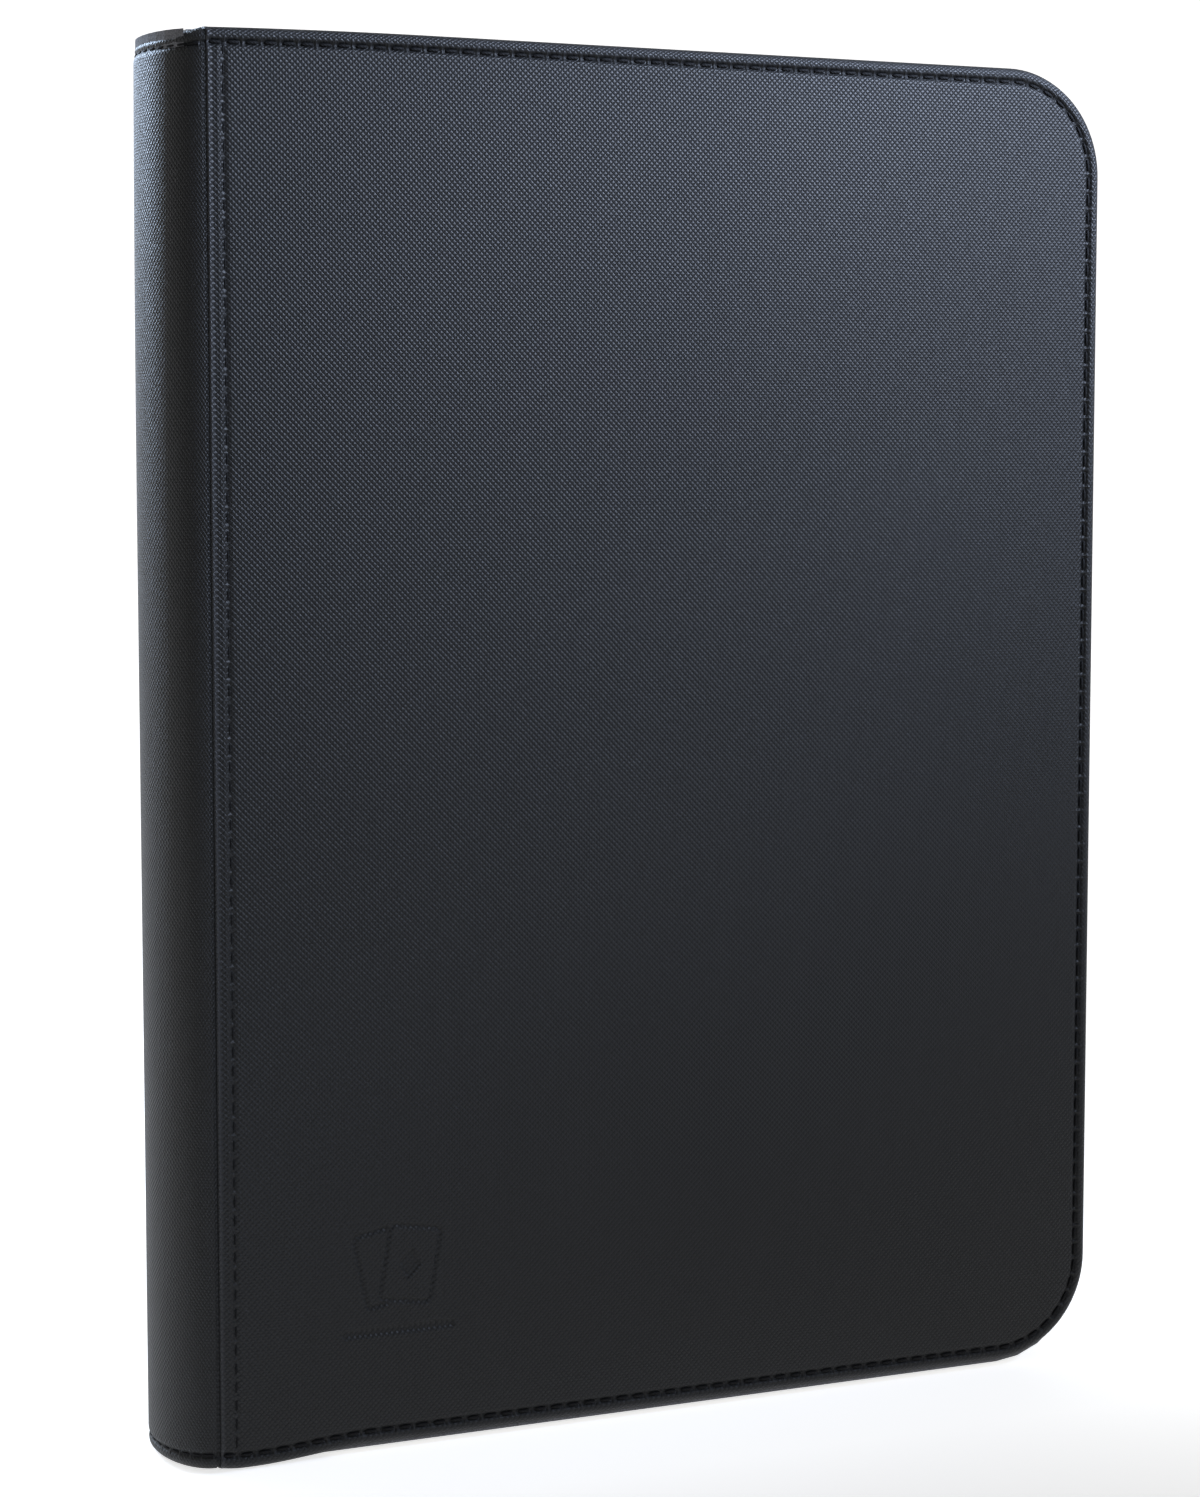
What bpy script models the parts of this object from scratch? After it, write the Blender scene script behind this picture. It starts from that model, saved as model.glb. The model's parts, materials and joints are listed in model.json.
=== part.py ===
"""A zip-round trading card binder, closed and standing upright on its lower edges.

X runs from the spine (-X) to the fore edge (+X), Y from the front cover (-Y) to the
rear cover (+Y), and Z is up. The origin is the middle of the bottom of the whole
binder. Each cover swings about its own crease, where the spine ends. Pages stand in
a binding strip on the spine and fan out as the cover on their side opens. The zip
slider runs on the rear cover's coil along the top edge, and its pull tab flips over.
"""
import math

import bpy
import bmesh
from mathutils import Vector

# Driving dimensions, in metres.
HEIGHT = 0.340
WIDTH = 0.253
THICKNESS = 0.040
SPINE_BULGE = 0.010
CORNER_RADIUS = 0.027
GAP = 0.0003

# Layers of a cover, from the outside in.
SKIN = 0.0010
FOAM = 0.0012
BOARD = 0.0018
LINING = 0.0006
RIM_WALL = 0.0010
RIM_ROUND = 0.0018

# Layers of the spine.
SPINE_BOARD = 0.0018
SPINE_BOARD_WIDTH = 0.0325
SPINE_LINING = 0.0005
HINGE_STRIP_WIDTH = 0.0018
HINGE_STRIP_DEPTH = 0.0012

# The zip: how far its line lies inside the edge of the covers, and its sections.
ZIP_INSET = 0.008
ZIP_START = 0.0085
TAPE = 0.0006
TAPE_SEAM = 0.0052
COIL_HEIGHT = 0.0026
COIL_INNER = 0.0005
COIL_OUTER = 0.0030
TAPE_INNER = 0.0033

# The slider, parked at the spine end of the top edge.
SLIDER_LENGTH = 0.016
SLIDER_HALF_WIDTH = 0.0056
SLIDER_NOSE = 0.0046
SLIDER_HEIGHT = 0.0068
SLIDER_PLATE = 0.0014
SLIDER_KEEL = 0.0002
SLIDER_TRAVEL_START = 0.0185
STOP_LENGTH = 0.003
SWING_ROOM = 0.0048

# The bail over the slider and the pull tab that hangs in it.
BAIL_HALF_LENGTH = 0.0042
BAIL_ROOM = 0.0020
BAIL_WALL = 0.0009
BAIL_HALF_WIDTH = 0.0008
TAB_LENGTH = 0.030
TAB_HALF_WIDTH = 0.0034
TAB_HALF_THICK = 0.0006
TAB_SLOT = 0.0058
TAB_SLOT_HALF_WIDTH = 0.0013

# Pages: twenty leaves of nine pockets, three columns of three.
PAGE_COUNT = 20
PAGE_PITCH = 0.0013
PAGE_STAGGER = 0.00045
PAGE_ROOT_CLEARANCE = 0.0015
PAGE_ROOT_GAP = 0.0004
PAGE_FOOT = 0.019
PAGE_FORE_MARGIN = 0.014
COLUMN_WIDTH = 0.0675
COLUMN_WELD = 0.0025
COLUMN_EDGE = 0.003
FILM_HALF = 0.0001
POCKET_HALF = 0.00025

# The strip on the spine that holds the pages.
STRIP_BASE = 0.0010
STRIP_LEG = 0.0007
STRIP_DEPTH = 0.0042

ARC_STEPS = 6
SPINE_STEPS = 14

# Derived places.
FORE_EDGE = WIDTH / 2
CREASE_X = -WIDTH / 2 + SPINE_BULGE
FACE_Y = THICKNESS / 2
COVER_DEPTH = SKIN + FOAM + BOARD + LINING + 3 * GAP
COVER_INNER_Y = FACE_Y - COVER_DEPTH
COVER_START_X = CREASE_X + GAP
ZIP_Z = HEIGHT - ZIP_INSET
FRONT = -1
REAR = 1


def clear_scene():
    """Remove every object that the file starts with."""
    for thing in list(bpy.data.objects):
        bpy.data.objects.remove(thing, do_unlink=True)


def make_material(name, colour, roughness, metallic=0.0):
    """A Principled material with one colour, roughness and metallic value."""
    material = bpy.data.materials.new(name)
    material.use_nodes = True
    shader = material.node_tree.nodes["Principled BSDF"]
    shader.inputs["Base Color"].default_value = (*colour, 1.0)
    shader.inputs["Roughness"].default_value = roughness
    shader.inputs["Metallic"].default_value = metallic
    material.diffuse_color = (*colour, 1.0)
    return material


def add_solid(name, loops, material, pivot=(0.0, 0.0, 0.0)):
    """Join a row of equal loops of world points into one closed solid with capped ends.

    The object's origin goes to pivot, which is on the joint axis of a moving piece.
    """
    form = bmesh.new()
    origin = Vector(pivot)
    rows = [[form.verts.new(Vector(point) - origin) for point in loop] for loop in loops]
    form.faces.new(rows[0])
    form.faces.new(rows[-1])
    count = len(rows[0])
    for low, high in zip(rows, rows[1:]):
        for i in range(count):
            j = (i + 1) % count
            form.faces.new((low[i], low[j], high[j], high[i]))
    bmesh.ops.recalc_face_normals(form, faces=form.faces[:])
    mesh = bpy.data.meshes.new(name)
    form.to_mesh(mesh)
    form.free()
    mesh.shade_smooth()
    mesh.set_sharp_from_angle(angle=math.radians(35))
    mesh.materials.append(material)
    solid = bpy.data.objects.new(name, mesh)
    solid.location = origin
    bpy.context.collection.objects.link(solid)
    return solid


def crease_axis(side):
    """A point on the axis of a cover: the outer face of the binder at its crease."""
    return (CREASE_X, side * FACE_Y, 0.0)


def cover_outline(inset):
    """The outline of a cover as (x, z) points, moved inwards by inset.

    The two corners at the spine are square and the two at the fore edge are round.
    """
    points = [(COVER_START_X + inset, HEIGHT - inset), (COVER_START_X + inset, inset)]
    points += fore_path(inset)
    return points


def fore_path(inset):
    """The round lower corner, then the round upper corner, as (x, z) points."""
    points = []
    centre_x = FORE_EDGE - CORNER_RADIUS
    radius = CORNER_RADIUS - inset
    for centre_z, start in ((CORNER_RADIUS, -90), (HEIGHT - CORNER_RADIUS, 0)):
        for step in range(ARC_STEPS + 1):
            angle = math.radians(start + 90 * step / ARC_STEPS)
            x = centre_x + radius * math.cos(angle)
            z = centre_z + radius * math.sin(angle)
            points.append((x, z))
    return points


def add_cover_layer(name, side, rings, material):
    """A solid whose loops follow the cover's outline, one loop per (inset, y) pair."""
    loops = []
    for inset, y in rings:
        loops.append([(x, side * y, z) for x, z in cover_outline(inset)])
    return add_solid(name, loops, material, crease_axis(side))


def add_plate(name, side, inset, outer_y, depth, material):
    """A flat layer of a cover that starts at outer_y and goes depth inwards."""
    rings = [(inset, outer_y), (inset, outer_y - depth)]
    return add_cover_layer(name, side, rings, material)


def add_cover_skin(name, side, material):
    """The outer skin: a shallow tray whose turned edge wraps the layers inside it."""
    soft = RIM_ROUND * (1 - math.sqrt(0.5))
    rings = [
        (RIM_ROUND, FACE_Y),
        (soft, FACE_Y - soft),
        (0.0, FACE_Y - RIM_ROUND),
        (0.0, COVER_INNER_Y),
        (RIM_WALL, COVER_INNER_Y),
        (RIM_WALL, FACE_Y - SKIN),
    ]
    return add_cover_layer(name, side, rings, material)


def zip_line(inset, start_x):
    """The open line of the zip along the bottom, fore and top edges, as (x, z)."""
    return [(start_x[0], inset)] + fore_path(inset) + [(start_x[1], HEIGHT - inset)]


def add_zip_strip(name, side, profile, start_x, material):
    """Sweep a profile of (inset, y) points along the zip's line.

    start_x holds where the strip starts on the bottom edge and on the top edge.
    """
    lines = [zip_line(inset, start_x) for inset, _ in profile]
    loops = []
    for place in range(len(lines[0])):
        loop = []
        for (_, y), line in zip(profile, lines):
            x, z = line[place]
            loop.append((x, side * y, z))
        loops.append(loop)
    return add_solid(name, loops, material, crease_axis(side))


def add_zip_tape(name, side, material):
    """The woven tape: a seam flange on the lining and a web out to the coil."""
    outer_y = COVER_INNER_Y - GAP
    low = ZIP_INSET - TAPE / 2
    high = ZIP_INSET + TAPE / 2
    profile = [
        (high - TAPE_SEAM - TAPE, outer_y),
        (high, outer_y),
        (high, TAPE_INNER),
        (low, TAPE_INNER),
        (low, outer_y - TAPE),
        (high - TAPE_SEAM - TAPE, outer_y - TAPE),
    ]
    start = CREASE_X + ZIP_START
    return add_zip_strip(name, side, profile, (start, start), material)


def add_zip_coil(name, side, start_x, material):
    """One half of the closure, a moulded coil with bevelled long edges."""
    low = ZIP_INSET - COIL_HEIGHT / 2
    high = ZIP_INSET + COIL_HEIGHT / 2
    bevel = COIL_HEIGHT / 4
    profile = [
        (low, COIL_OUTER - bevel),
        (low + bevel, COIL_OUTER),
        (high - bevel, COIL_OUTER),
        (high, COIL_OUTER - bevel),
        (high, COIL_INNER),
        (low, COIL_INNER),
    ]
    return add_zip_strip(name, side, profile, start_x, material)


def box_loops(low, high):
    """The two end loops of a box between two corners."""
    bottom = [
        (low[0], low[1], low[2]),
        (high[0], low[1], low[2]),
        (high[0], high[1], low[2]),
        (low[0], high[1], low[2]),
    ]
    top = [(x, y, high[2]) for x, y, _ in bottom]
    return [bottom, top]


def add_zip_stop(name, low_x, low_y, high_y, middle_z, pivot, material):
    """A clamped stop at the end of a coil."""
    half = COIL_HEIGHT / 2 + GAP
    low = (low_x, low_y, middle_z - half)
    high = (low_x + STOP_LENGTH, high_y, middle_z + half)
    return add_solid(name, box_loops(low, high), material, pivot)


def spine_curve(inset):
    """Half an ellipse of (x, y) points from the front crease to the rear crease."""
    points = []
    for step in range(SPINE_STEPS + 1):
        angle = math.radians(-90 + 180 * step / SPINE_STEPS)
        x = CREASE_X - GAP - (SPINE_BULGE - GAP - inset) * math.cos(angle)
        y = (FACE_Y - inset) * math.sin(angle)
        points.append((x, y))
    return points


def add_spine_skin(material):
    """The spine's skin: a rounded shell, turned in over the top and bottom ends."""
    rounding = RIM_ROUND
    soft = rounding * (1 - math.sqrt(0.5))
    levels = [
        (rounding, 0.0),
        (soft, soft),
        (0.0, rounding),
        (0.0, HEIGHT - rounding),
        (soft, HEIGHT - soft),
        (rounding, HEIGHT),
    ]
    loops = [[(x, y, z) for x, y in spine_curve(inset)] for inset, z in levels]
    shell = add_solid("spine_skin", loops, material)
    inner = [(x, y) for x, y in spine_curve(SKIN)]
    beyond = CREASE_X + SPINE_BULGE
    inner = [(beyond, inner[0][1])] + inner + [(beyond, inner[-1][1])]
    ends = (RIM_WALL, HEIGHT - RIM_WALL)
    cutter = add_solid("spine_hollow", [[(x, y, z) for x, y in inner] for z in ends], material)
    cutter.hide_render = True
    cutter.display_type = "WIRE"
    cut = shell.modifiers.new("hollow", "BOOLEAN")
    cut.object = cutter
    cut.solver = "EXACT"
    return shell


def add_upright(name, section, low_z, high_z, material, pivot=(0.0, 0.0, 0.0)):
    """A section of (x, y) points, raised from low_z to high_z."""
    loops = [[(x, y, z) for x, y in section] for z in (low_z, high_z)]
    return add_solid(name, loops, material, pivot)


def rectangle(low_x, high_x, low_y, high_y):
    """The four corners of a rectangle in plan."""
    return [(low_x, low_y), (high_x, low_y), (high_x, high_y), (low_x, high_y)]


def add_spine_layers(foam, card, cloth):
    """The padding, stiffener, lining and hinge strips that lie inside the spine skin."""
    end = RIM_WALL + GAP
    lining_x = CREASE_X - GAP - SPINE_LINING
    board_x = lining_x - GAP - SPINE_BOARD
    pad_x = board_x - GAP
    round_side = [(x, y) for x, y in spine_curve(SKIN + GAP) if x < pad_x]
    add_upright("spine_padding", round_side, end, HEIGHT - end, foam)
    half = SPINE_BOARD_WIDTH / 2
    board = rectangle(board_x, board_x + SPINE_BOARD, -half, half)
    add_upright("spine_board", board, end, HEIGHT - end, card)
    lining = rectangle(lining_x, lining_x + SPINE_LINING, -half, half)
    add_upright("spine_lining", lining, end, HEIGHT - end, cloth)
    outer = FACE_Y - SKIN - 2 * GAP
    inner = outer - HINGE_STRIP_WIDTH
    low_x = CREASE_X - GAP - HINGE_STRIP_DEPTH
    for side, name in ((FRONT, "front_hinge_strip"), (REAR, "rear_hinge_strip")):
        section = rectangle(low_x, CREASE_X - GAP, side * outer, side * inner)
        add_upright(name, section, end, HEIGHT - end, cloth)


def page_offset(number):
    """How far a page stands from the middle of the stack, in Y."""
    return (number - (PAGE_COUNT - 1) / 2) * PAGE_PITCH


def page_axis_x(number):
    """Where a page folds: further from the spine towards the middle of the stack."""
    from_outside = min(number, PAGE_COUNT - 1 - number)
    return CREASE_X + COVER_DEPTH + PAGE_ROOT_CLEARANCE + from_outside * PAGE_STAGGER


def add_page_holder(plastic, film):
    """The channel on the spine and the welded block of page margins inside it."""
    stack = page_offset(PAGE_COUNT - 1) + PAGE_PITCH / 2
    inner = stack + GAP
    outer = inner + STRIP_LEG
    base_x = CREASE_X + GAP
    floor_x = base_x + STRIP_BASE
    lip_x = base_x + STRIP_DEPTH
    channel = [
        (base_x, -outer),
        (base_x, outer),
        (lip_x, outer),
        (lip_x, inner),
        (floor_x, inner),
        (floor_x, -inner),
        (lip_x, -inner),
        (lip_x, -outer),
    ]
    top = HEIGHT - PAGE_FOOT
    add_upright("binding_channel", channel, PAGE_FOOT, top, plastic)
    edge_x = page_axis_x(0) - PAGE_ROOT_GAP
    ridge_x = page_axis_x(PAGE_COUNT // 2) - PAGE_ROOT_GAP
    ridge = PAGE_PITCH / 2
    block = [
        (floor_x + GAP, -stack),
        (floor_x + GAP, stack),
        (edge_x, stack),
        (ridge_x, ridge),
        (ridge_x, -ridge),
        (edge_x, -stack),
    ]
    add_upright("page_root_block", block, PAGE_FOOT, top, film)


def add_page(number, material):
    """One leaf: a thin film that carries three columns of pockets on each face."""
    axis_x = page_axis_x(number)
    axis_y = page_offset(number)
    tip_x = FORE_EDGE - PAGE_FORE_MARGIN
    half = [(axis_x + PAGE_ROOT_GAP, FILM_HALF)]
    for column in (2, 1, 0):
        end_x = tip_x - COLUMN_EDGE - column * (COLUMN_WIDTH + COLUMN_WELD)
        start_x = end_x - COLUMN_WIDTH
        half += [(start_x, FILM_HALF), (start_x, POCKET_HALF)]
        half += [(end_x, POCKET_HALF), (end_x, FILM_HALF)]
    half.append((tip_x, FILM_HALF))
    section = [(x, axis_y + y) for x, y in half]
    section += [(x, axis_y - y) for x, y in reversed(half)]
    name = f"page_{number + 1:02d}"
    pivot = (axis_x, axis_y, PAGE_FOOT)
    return add_upright(name, section, PAGE_FOOT, HEIGHT - PAGE_FOOT, material, pivot)


def slider_section(half_width):
    """The slider across its travel: two plates on a thin keel, open at both sides."""
    low = ZIP_Z - SLIDER_HEIGHT / 2
    high = ZIP_Z + SLIDER_HEIGHT / 2
    room_low = low + SLIDER_PLATE
    room_high = high - SLIDER_PLATE
    slot = TAPE / 2 + GAP
    lip = COIL_OUTER + 2 * GAP
    right = [
        (half_width, low),
        (half_width, ZIP_Z - slot),
        (lip, ZIP_Z - slot),
        (lip, room_low),
        (SLIDER_KEEL, room_low),
        (SLIDER_KEEL, room_high),
        (lip, room_high),
        (lip, ZIP_Z + slot),
        (half_width, ZIP_Z + slot),
        (half_width, high),
    ]
    return right + [(-y, z) for y, z in reversed(right)]


def add_slider(metal):
    """The slider body, its bail, and the pull tab that turns in the bail."""
    middle = CREASE_X + SLIDER_TRAVEL_START
    ends = SLIDER_LENGTH / 2
    stations = [(-ends, SLIDER_NOSE), (-ends / 2, SLIDER_HALF_WIDTH)]
    stations += [(ends / 2, SLIDER_HALF_WIDTH), (ends, SLIDER_NOSE)]
    loops = []
    for along, half_width in stations:
        loops.append([(middle + along, y, z) for y, z in slider_section(half_width)])
    pivot = (middle, 0.0, ZIP_Z)
    add_solid("zip_slider_body", loops, metal, pivot)
    foot = ZIP_Z + SLIDER_HEIGHT / 2 + GAP
    arch = bail_arch(middle, foot)
    loops = [[(x, y, z) for x, z in arch] for y in (-BAIL_HALF_WIDTH, BAIL_HALF_WIDTH)]
    add_solid("zip_slider_bail", loops, metal, pivot)
    add_pull_tab(middle, foot + BAIL_ROOM / 2, metal)


def bail_arch(middle, foot):
    """An arch of (x, z) points that stands on the slider, with its inside below it."""
    outer = BAIL_HALF_LENGTH
    inner = BAIL_HALF_LENGTH - BAIL_WALL
    shoulder = BAIL_ROOM - BAIL_WALL
    crown = BAIL_ROOM + BAIL_WALL
    return [
        (middle - outer, foot),
        (middle - outer, foot + shoulder),
        (middle - inner + BAIL_WALL / 2, foot + crown),
        (middle + inner - BAIL_WALL / 2, foot + crown),
        (middle + outer, foot + shoulder),
        (middle + outer, foot),
        (middle + inner, foot),
        (middle + inner, foot + shoulder),
        (middle + inner - BAIL_WALL, foot + BAIL_ROOM),
        (middle - inner + BAIL_WALL, foot + BAIL_ROOM),
        (middle - inner, foot + shoulder),
        (middle - inner, foot),
    ]


def add_pull_tab(axis_x, axis_z, metal):
    """A flat tab with a round end and a slot, lying along the zip towards the fore edge."""
    start_x = axis_x - TAB_HALF_THICK
    round_x = axis_x + TAB_LENGTH - TAB_HALF_WIDTH
    outline = [(start_x, TAB_HALF_WIDTH), (start_x, -TAB_HALF_WIDTH)]
    for step in range(ARC_STEPS * 2 + 1):
        angle = math.radians(-90 + 180 * step / (ARC_STEPS * 2))
        x = round_x + TAB_HALF_WIDTH * math.cos(angle)
        outline.append((x, TAB_HALF_WIDTH * math.sin(angle)))
    pivot = (axis_x, 0.0, axis_z)
    low = axis_z - TAB_HALF_THICK
    high = axis_z + TAB_HALF_THICK
    tab = add_upright("pull_tab", outline, low, high, metal, pivot)
    slot = rectangle(
        axis_x + TAB_HALF_THICK, axis_x + TAB_SLOT, -TAB_SLOT_HALF_WIDTH, TAB_SLOT_HALF_WIDTH
    )
    cutter = add_upright("pull_tab_slot", slot, low - TAB_LENGTH, high + TAB_LENGTH, metal, pivot)
    cutter.hide_render = True
    cutter.display_type = "WIRE"
    cut = tab.modifiers.new("slot", "BOOLEAN")
    cut.object = cutter
    cut.solver = "EXACT"
    return tab


def add_cover(side, word, leather, foam, card, cloth, coil):
    """Every piece of one cover, from its skin to its half of the zip."""
    foam_y = FACE_Y - SKIN - GAP
    board_y = foam_y - FOAM - GAP
    lining_y = board_y - BOARD - GAP
    inset = RIM_WALL + GAP
    add_cover_skin(f"{word}_cover_skin", side, leather)
    add_plate(f"{word}_cover_padding", side, inset, foam_y, FOAM, foam)
    add_plate(f"{word}_cover_board", side, inset, board_y, BOARD, card)
    add_plate(f"{word}_cover_lining", side, inset, lining_y, LINING, cloth)
    add_zip_tape(f"{word}_zip_tape", side, cloth)
    bottom_start = CREASE_X + ZIP_START + STOP_LENGTH + GAP
    top_start = bottom_start
    if side == FRONT:
        bottom_start += SWING_ROOM
        top_start = front_stop_start() + STOP_LENGTH + GAP
    add_zip_coil(f"{word}_zip_coil", side, (bottom_start, top_start), coil)


def front_stop_start():
    """Where the front coil's stop begins, past the parked slider and the room it swings in."""
    return CREASE_X + SLIDER_TRAVEL_START + SLIDER_LENGTH / 2 + SWING_ROOM


def add_stops(metal):
    """The stops at the ends of the coils. The bottom one joins both halves."""
    tape_end = CREASE_X + ZIP_START
    front_axis = crease_axis(FRONT)
    rear_axis = crease_axis(REAR)
    wide = COIL_OUTER
    add_zip_stop("front_zip_stop", front_stop_start(), -wide, -COIL_INNER, ZIP_Z, front_axis, metal)
    add_zip_stop("rear_zip_stop", tape_end, COIL_INNER, wide, ZIP_Z, rear_axis, metal)
    add_zip_stop("bottom_zip_stop", tape_end, -wide, wide, ZIP_INSET, rear_axis, metal)


def build():
    """Make the materials and every piece of the binder."""
    clear_scene()
    leather = make_material("leatherette", (0.020, 0.022, 0.026), 0.46)
    foam = make_material("foam", (0.12, 0.12, 0.13), 0.9)
    card = make_material("greyboard", (0.30, 0.28, 0.25), 0.85)
    cloth = make_material("lining_cloth", (0.025, 0.025, 0.028), 0.8)
    coil = make_material("zip_nylon", (0.03, 0.03, 0.032), 0.45)
    metal = make_material("black_nickel", (0.10, 0.10, 0.11), 0.3, 1.0)
    plastic = make_material("binding_plastic", (0.03, 0.03, 0.03), 0.4)
    film = make_material("pocket_film", (0.07, 0.07, 0.075), 0.3)
    add_spine_skin(leather)
    add_spine_layers(foam, card, cloth)
    add_page_holder(plastic, film)
    add_cover(FRONT, "front", leather, foam, card, cloth, coil)
    add_cover(REAR, "rear", leather, foam, card, cloth, coil)
    add_stops(metal)
    add_slider(metal)
    for number in range(PAGE_COUNT):
        add_page(number, film)


build()
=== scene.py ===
import json
import math

import bmesh
import bpy
import numpy as np
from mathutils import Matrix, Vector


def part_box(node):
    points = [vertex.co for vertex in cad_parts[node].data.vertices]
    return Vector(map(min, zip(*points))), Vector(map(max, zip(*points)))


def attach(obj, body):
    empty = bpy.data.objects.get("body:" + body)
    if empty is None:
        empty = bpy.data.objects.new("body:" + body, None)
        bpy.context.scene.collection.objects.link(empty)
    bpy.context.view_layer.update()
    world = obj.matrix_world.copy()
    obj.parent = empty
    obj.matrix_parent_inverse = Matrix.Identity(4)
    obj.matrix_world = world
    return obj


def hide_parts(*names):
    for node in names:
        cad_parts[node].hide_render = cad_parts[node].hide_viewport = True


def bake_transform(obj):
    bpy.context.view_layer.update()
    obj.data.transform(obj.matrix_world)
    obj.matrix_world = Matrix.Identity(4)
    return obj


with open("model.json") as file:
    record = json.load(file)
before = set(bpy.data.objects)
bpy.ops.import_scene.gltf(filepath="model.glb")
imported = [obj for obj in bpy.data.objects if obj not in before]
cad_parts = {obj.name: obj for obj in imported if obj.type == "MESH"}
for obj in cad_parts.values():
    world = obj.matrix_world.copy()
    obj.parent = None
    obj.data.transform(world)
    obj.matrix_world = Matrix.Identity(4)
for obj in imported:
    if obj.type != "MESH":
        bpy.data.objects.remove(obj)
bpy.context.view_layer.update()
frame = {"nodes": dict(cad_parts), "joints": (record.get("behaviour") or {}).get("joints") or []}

# ----------------------------------------
# The camera: it stands a little to the left of the binder's spine and looks
# down on it slightly, with a long lens.
crease_x = frame["joints"][0]["pos_m"][0]
face_y = abs(frame["joints"][0]["pos_m"][1])
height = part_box("front_cover_skin")[1].z
eye = (crease_x - 0.6945 * height, -face_y - 2.1438 * height, 0.7143 * height)
yaw = math.radians(24.73)
pitch = math.radians(5.23)
lens = bpy.data.cameras.new("portrait_lens")
lens.lens = 78.8
lens.sensor_width = 36.0
lens.clip_start = 0.01
camera = bpy.data.objects.new("camera", lens)
camera.location = eye
camera.rotation_euler = (math.pi / 2 - pitch, 0.0, -yaw)
bpy.context.scene.collection.objects.link(camera)
bpy.context.scene.camera = camera


# ----------------------------------------
# Stiffeners and padding. Greyboard panels are cut from pulpy recycled sheet,
# and a thin open-cell foam is glued on their outer side. Both are hidden
# once the leatherette is turned over their edges.
class Paint:
    """A material's node tree, with one method that adds any node to it."""

    def __init__(self, name, colour, roughness, metallic=0.0):
        self.material = bpy.data.materials.new(name)
        self.material.use_nodes = True
        self.tree = self.material.node_tree
        self.shader = self.tree.nodes["Principled BSDF"]
        self.set("Base Color", (*colour, 1.0))
        self.set("Roughness", roughness)
        self.set("Metallic", metallic)

    def feed(self, socket, value):
        """Set a socket to a value, or link it to a wire."""
        if isinstance(value, Wire):
            self.tree.links.new(value.socket, socket)
        else:
            socket.default_value = value

    def set(self, name, value):
        """Feed one of the shader's own sockets."""
        self.feed(self.shader.inputs[name], value)

    def node(self, kind, settings=(), inputs=(), output=0):
        """Add a node, set its settings first, then its sockets, and return an output."""
        made = self.tree.nodes.new(kind)
        for key, value in dict(settings).items():
            setattr(made, key, value)
        for key, value in dict(inputs).items():
            self.feed(made.inputs[key], value)
        return Wire(self, made.outputs[output])

    def place(self):
        """The place on the object, in metres."""
        return self.node("ShaderNodeTexCoord", output=3)

    def parts(self, vector):
        """The three coordinates of a vector."""
        return [self.node("ShaderNodeSeparateXYZ", (), {0: vector}, index) for index in range(3)]

    def map(self, name):
        """The two coordinates of one of the piece's own maps."""
        return self.parts(self.node("ShaderNodeUVMap", {"uv_map": name}))[:2]

    def mark(self, name):
        """A value from 0 to 1 that each point of the piece carries."""
        return self.node("ShaderNodeAttribute", {"attribute_name": name}, (), 2)

    def noise(self, vector, scale, detail=3.0):
        """Cloudy noise from 0 to 1."""
        inputs = {"Vector": vector, "Scale": scale, "Detail": detail}
        return self.node("ShaderNodeTexNoise", (), inputs)

    def streaks(self, scale):
        """Noise drawn out along an axis, by a scale for each axis."""
        stretched = self.node("ShaderNodeMapping", (), {0: self.place(), 3: scale})
        return self.noise(stretched, 1.0)

    def mix(self, share, low, high):
        """Mix two colours by a share from 0 to 1."""
        low = low if isinstance(low, Wire) else (*low, 1.0)
        inputs = {0: share, 6: low, 7: (*high, 1.0)}
        return self.node("ShaderNodeMix", {"data_type": "RGBA"}, inputs, 2)

    def colour(self, share, low, high):
        """Give the shader a mix of two colours as its base colour."""
        self.set("Base Color", self.mix(share, low, high))

    def bump(self, relief, depth, strength=1.0):
        """Turn a relief from 0 to 1 into a normal, depth metres deep."""
        inputs = {"Height": relief, "Distance": depth, "Strength": strength}
        self.set("Normal", self.node("ShaderNodeBump", (), inputs))


class Wire:
    """A value on its way through a material. Arithmetic on it adds Math nodes."""

    def __init__(self, paint, socket):
        self.paint = paint
        self.socket = socket

    def maths(self, operation, *others):
        return self.work(operation, self, *others)

    def work(self, operation, *values):
        inputs = dict(enumerate(values))
        return self.paint.node("ShaderNodeMath", {"operation": operation}, inputs)

    def __add__(self, other):
        return self.maths("ADD", other)

    def __radd__(self, other):
        return self.work("ADD", other, self)

    def __sub__(self, other):
        return self.maths("SUBTRACT", other)

    def __rsub__(self, other):
        return self.work("SUBTRACT", other, self)

    def __mul__(self, other):
        return self.maths("MULTIPLY", other)

    def __rmul__(self, other):
        return self.work("MULTIPLY", other, self)

    def __truediv__(self, other):
        return self.maths("DIVIDE", other)

    def __rtruediv__(self, other):
        return self.work("DIVIDE", other, self)

    def __pow__(self, other):
        return self.maths("POWER", other)

    def sine(self):
        return self.maths("SINE")

    def size(self):
        return self.maths("ABSOLUTE")

    def least(self, other):
        return self.maths("MINIMUM", other)

    def most(self, other):
        return self.maths("MAXIMUM", other)

    def band(self, middle, width):
        """1 at the middle, falling to 0 a width away on both sides."""
        return (1.0 - (self - middle).size() / width).most(0.0)


def greyboard_finish():
    """Flecked grey pulp board with a felt-marked surface."""
    paint = Paint("greyboard_pulp", (0.30, 0.28, 0.25), 0.86)
    place = paint.place()
    flecks = paint.noise(place, 900.0, 6.0)
    share = flecks * paint.noise(place, 60.0) * 2.0
    paint.colour(share, (0.20, 0.185, 0.16), (0.40, 0.375, 0.33))
    paint.bump(flecks, 0.00008)
    return paint.material


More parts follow.
